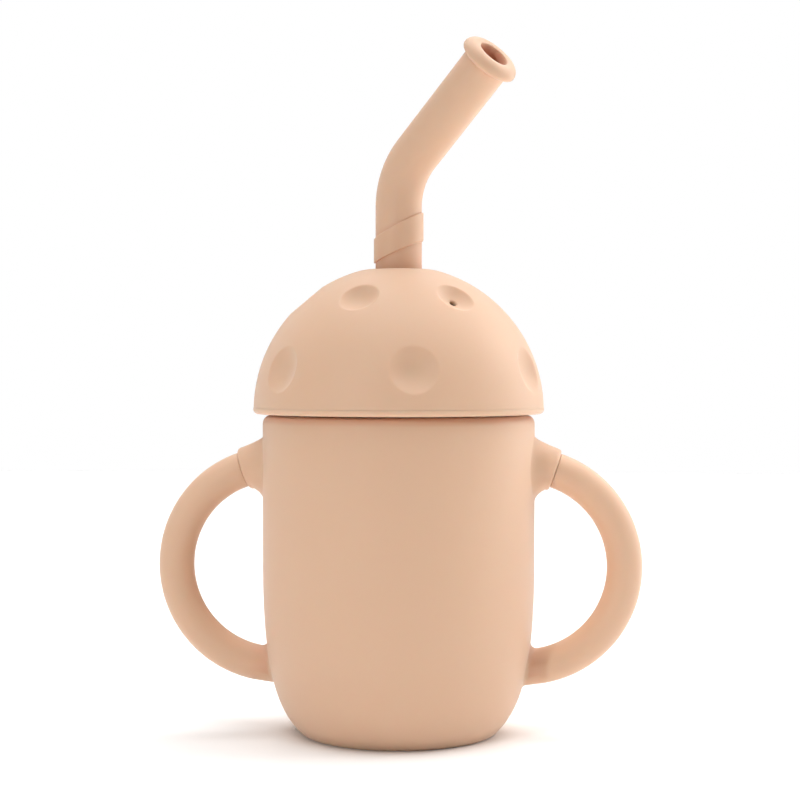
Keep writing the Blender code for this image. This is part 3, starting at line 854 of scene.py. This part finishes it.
def slant_band(builder, straw):
    """Tilts the band's two edges towards +X and eases the skin above and below them."""
    low_ease = straw.band_low - straw.band_ease * straw.band_low_slope * straw.radius
    high_ease = straw.band_high + straw.band_ease * straw.band_high_slope * straw.radius
    for vert in builder.verts:
        z = vert.co.z
        if low_ease < z <= straw.band_low:
            slope = straw.band_low_slope * (z - low_ease) / (straw.band_low - low_ease)
        elif straw.band_low < z <= straw.band_high:
            rise = (z - straw.band_low) / (straw.band_high - straw.band_low)
            slope = straw.band_low_slope + (straw.band_high_slope - straw.band_low_slope) * rise
        elif straw.band_high < z < high_ease:
            slope = straw.band_high_slope * (high_ease - z) / (high_ease - straw.band_high)
        else:
            continue
        vert.co.z = z + slope * vert.co.x


def bend_straw(builder, straw):
    """Bends the straight straw above the start of its bend."""
    lean = direction(straw.bend_azimuth)
    for vert in builder.verts:
        travel = vert.co.z - straw.bend_start
        if travel <= 0.0:
            continue
        sweep = min(travel / straw.bend_radius, straw.bend_angle)
        beyond = travel - straw.bend_radius * sweep
        heading = lean * math.sin(sweep) + UP * math.cos(sweep)
        outward = lean * math.cos(sweep) - UP * math.sin(sweep)
        flat = Vector((vert.co.x, vert.co.y, 0.0))
        leaning = flat.dot(lean)
        sideways = flat - lean * leaning
        centre = lean * straw.bend_radius * (1.0 - math.cos(sweep))
        centre += UP * (straw.bend_start + straw.bend_radius * math.sin(sweep))
        vert.co = centre + heading * beyond + outward * leaning + sideways


def lower_straw_skin(straw):
    """The lower straw: a plain tube with a notched foot."""
    outer = DIP_HIGH.y
    outline = Outline(straw.lower_bore, DIP_LOW.z)
    outline.line(outer, DIP_LOW.z, rounding=0.0003)
    outline.line(outer, DIP_HIGH.z, rounding=0.0004)
    outline.line(straw.lower_bore, DIP_HIGH.z, rounding=0.0003)
    outline.line(straw.lower_bore, DIP_LOW.z)
    builder = outline.spun(straw.segments, longest=0.0015)
    ease = 4.0 * straw.notch
    for vert in builder.verts:
        rise = vert.co.z - DIP_LOW.z
        if rise < ease and abs(vert.co.y) < straw.notch:
            lift = math.sqrt(straw.notch**2 - vert.co.y**2)
            vert.co.z += lift * (1.0 - rise / ease)
    return builder


# ---------------------------------------------------------------- operators


class STRAWCUP_OT_shell(bpy.types.Operator):
    """Build the tumbler with its two collars"""

    bl_idname = "straw_cup.shell"
    bl_label = "Cup shell"

    def execute(self, context):
        sizes = context.scene.straw_cup_body
        arm = context.scene.straw_cup_arm
        builder = cup_skin(sizes)
        for side in (1.0, -1.0):
            grow_collar(builder, sizes, arm, side)
        bmesh.ops.recalc_face_normals(builder, faces=builder.faces)
        finish = silicone("cup_silicone", context.scene.straw_cup_finish, (0.0, 0.0, 0.0))
        finish_piece("cup_shell", builder, "cup", ["cup_body"], finish)
        return {"FINISHED"}


class STRAWCUP_OT_handles(bpy.types.Operator):
    """Build the two ring handles that plug into the collars"""

    bl_idname = "straw_cup.handles"
    bl_label = "Handles"

    def execute(self, context):
        arm = context.scene.straw_cup_arm
        finish = silicone("handle_silicone", context.scene.straw_cup_finish, (0.3, 0.1, 0.2))
        context.view_layer.update()
        shell = bpy.data.objects["cup_shell"]
        for side, mirror in (("right", 1.0), ("left", -1.0)):
            builder = arm_skin(shell, arm)
            bmesh.ops.scale(builder, vec=(mirror, 1.0, 1.0), verts=builder.verts)
            bmesh.ops.recalc_face_normals(builder, faces=builder.faces)
            finish_piece(
                f"handle_arm_{side}", builder, "cup", [f"{side}_handle"], finish
            )
        return {"FINISHED"}


class STRAWCUP_OT_dome(bpy.types.Operator):
    """Build the mushroom dome with its two rows of dimples and its air hole"""

    bl_idname = "straw_cup.dome"
    bl_label = "Dome lid"

    def execute(self, context):
        lid = context.scene.straw_cup_lid
        builder = dome_skin(lid)
        vent = (lid.vent_sideways, lid.vent_upwards)
        for number in range(lid.dimples):
            turn = number * math.tau / lid.dimples
            press_dimple(builder, lid, lid.lower_first + turn, lid.lower_latitude, lid.lower_dimple)
            hole = vent if number == lid.vented else None
            press_dimple(builder, lid, lid.upper_first + turn, lid.upper_latitude, lid.upper_dimple, hole)
        bmesh.ops.recalc_face_normals(builder, faces=builder.faces)
        finish = silicone("lid_silicone", context.scene.straw_cup_finish, (0.1, 0.4, 0.7))
        finish_piece("dome_lid", builder, "lid", ["lid_cap"], finish)
        return {"FINISHED"}


class STRAWCUP_OT_stopper(bpy.types.Operator):
    """Build the stopper ring bonded under the dome"""

    bl_idname = "straw_cup.stopper"
    bl_label = "Stopper ring"

    def execute(self, context):
        builder = stopper_skin(context.scene.straw_cup_lid, context.scene.straw_cup_body)
        finish = silicone("stopper_silicone", context.scene.straw_cup_finish, (0.5, 0.2, 0.1))
        finish_piece("stopper_ring", builder, "lid", ["lid_plug"], finish)
        return {"FINISHED"}


class STRAWCUP_OT_straws(bpy.types.Operator):
    """Build the bent upper straw and the thin lower straw"""

    bl_idname = "straw_cup.straws"
    bl_label = "Straws"

    def execute(self, context):
        straw = context.scene.straw_cup_straw
        finish = silicone("straw_silicone", context.scene.straw_cup_finish, (0.2, 0.6, 0.3))
        finish_piece(
            "drinking_straw", straw_skin(straw), "mouth_straw", ["mouth_straw"], finish
        )
        finish_piece(
            "lower_straw", lower_straw_skin(straw), "dip_straw", ["dip_straw"], finish
        )
        return {"FINISHED"}


class STRAWCUP_OT_stage(bpy.types.Operator):
    """Build the pale floor, the soft studio light and the camera"""

    bl_idname = "straw_cup.stage"
    bl_label = "Stage"

    def execute(self, context):
        setup = context.scene.straw_cup_stage
        lay_floor(setup)
        light_studio(setup)
        place_camera(setup)
        context.scene.view_settings.view_transform = "Standard"
        return {"FINISHED"}


def lay_floor(setup):
    """A plain white floor."""
    builder = bmesh.new()
    bmesh.ops.create_grid(builder, x_segments=2, y_segments=2, size=0.5 * setup.floor_size)
    mesh = bpy.data.meshes.new("floor")
    builder.to_mesh(mesh)
    builder.free()
    floor = bpy.data.objects.new("floor", mesh)
    bpy.context.scene.collection.objects.link(floor)
    graph = Graph("floor_paint")
    for socket, value in (
        ("Base Color", (*setup.floor_colour, 1.0)),
        ("Roughness", 0.75),
        ("Specular IOR Level", 0.2),
    ):
        graph.feed(graph.shader.inputs[socket], value)
    mesh.materials.append(graph.material)


def hang_lamp(light, azimuth, latitude, place, distance):
    """Hangs a light at a distance from a place and turns it to face that place."""
    lamp = bpy.data.objects.new(light.name, light)
    aim = direction(math.radians(azimuth), math.radians(latitude))
    lamp.location = place + aim * distance
    lamp.rotation_euler = aim.to_track_quat("Z", "Y").to_euler()
    bpy.context.scene.collection.objects.link(lamp)


def add_softbox(setup, name, azimuth, latitude, distance, power):
    """A square area light that faces the cup."""
    light = bpy.data.lights.new(name, "AREA")
    light.shape = "SQUARE"
    light.size = setup.softbox_size
    light.energy = power
    hang_lamp(light, azimuth, latitude, UP * setup.lit_height, distance)


def add_sun(name, azimuth, latitude, spread, power):
    """An even light from far away; spread is the width of the source, in degrees."""
    light = bpy.data.lights.new(name, "SUN")
    light.energy = power
    light.angle = math.radians(spread)
    hang_lamp(light, azimuth, latitude, Vector(), 0.0)


def light_studio(setup):
    """A wide scrim overhead, a small key from the front left and softboxes behind on both sides."""
    world = bpy.data.worlds.new("surround")
    world.use_nodes = True
    tree = world.node_tree
    background = tree.nodes["Background"]
    background.inputs["Color"].default_value = (1.0, 1.0, 1.0, 1.0)
    seen = tree.nodes.new("ShaderNodeLightPath").outputs["Is Camera Ray"]
    tree.links.new(seen, background.inputs["Strength"])
    bpy.context.scene.world = world
    add_sun("scrim", azimuth=0.0, latitude=89.0, spread=70.0, power=3.15)
    add_sun("key", azimuth=-34.0, latitude=20.0, spread=1.8, power=0.78)
    add_softbox(setup, "rim_right", azimuth=112.0, latitude=20.0, distance=0.8, power=4.6)
    add_softbox(setup, "top_right", azimuth=112.0, latitude=45.0, distance=0.8, power=1.4)
    add_softbox(setup, "rim_left", azimuth=-120.0, latitude=20.0, distance=0.8, power=0.9)
    add_softbox(setup, "back", azimuth=180.0, latitude=50.0, distance=0.9, power=2.2)


def place_camera(setup):
    """The camera, level with the lid and a little to the right of the front."""
    camera = bpy.data.cameras.new("camera")
    camera.lens = setup.lens
    camera.sensor_width = 36.0
    camera.clip_start = 0.01
    rig = bpy.data.objects.new("camera", camera)
    right = direction(setup.azimuth + QUARTER)
    rig.location = direction(setup.azimuth) * setup.distance + UP * setup.height
    target = right * setup.aim_sideways + UP * setup.aim
    rig.rotation_euler = (target - rig.location).to_track_quat("-Z", "Y").to_euler()
    bpy.context.scene.collection.objects.link(rig)
    bpy.context.scene.camera = rig


class STRAWCUP_PT_panel(bpy.types.Panel):
    """Lists the steps that build the straw cup"""

    bl_idname = "STRAWCUP_PT_panel"
    bl_label = "Straw cup"
    bl_space_type = "VIEW_3D"
    bl_region_type = "UI"
    bl_category = "Straw cup"

    def draw(self, context):
        for step in OPERATORS:
            self.layout.operator(step.bl_idname)


OPERATORS = (
    STRAWCUP_OT_shell,
    STRAWCUP_OT_handles,
    STRAWCUP_OT_dome,
    STRAWCUP_OT_stopper,
    STRAWCUP_OT_straws,
    STRAWCUP_OT_stage,
)
GROUPS = {
    "straw_cup_body": CupSizes,
    "straw_cup_arm": ArmSizes,
    "straw_cup_lid": LidSizes,
    "straw_cup_straw": StrawSizes,
    "straw_cup_finish": SiliconeFinish,
    "straw_cup_stage": StageSetup,
}


def register():
    """Registers every class and hangs the sizes on the scene."""
    for name, group in GROUPS.items():
        bpy.utils.register_class(group)
        setattr(bpy.types.Scene, name, PointerProperty(type=group))
    for step in (*OPERATORS, STRAWCUP_PT_panel):
        bpy.utils.register_class(step)


def unregister():
    """Takes everything back out, in the opposite order."""
    for step in reversed((*OPERATORS, STRAWCUP_PT_panel)):
        bpy.utils.unregister_class(step)
    for name, group in reversed(GROUPS.items()):
        delattr(bpy.types.Scene, name)
        bpy.utils.unregister_class(group)


def main():
    """Builds every piece and the stage."""
    register()
    bpy.ops.straw_cup.shell()
    bpy.ops.straw_cup.handles()
    bpy.ops.straw_cup.dome()
    bpy.ops.straw_cup.stopper()
    bpy.ops.straw_cup.straws()
    bpy.ops.straw_cup.stage()


if __name__ == "__main__":
    main()
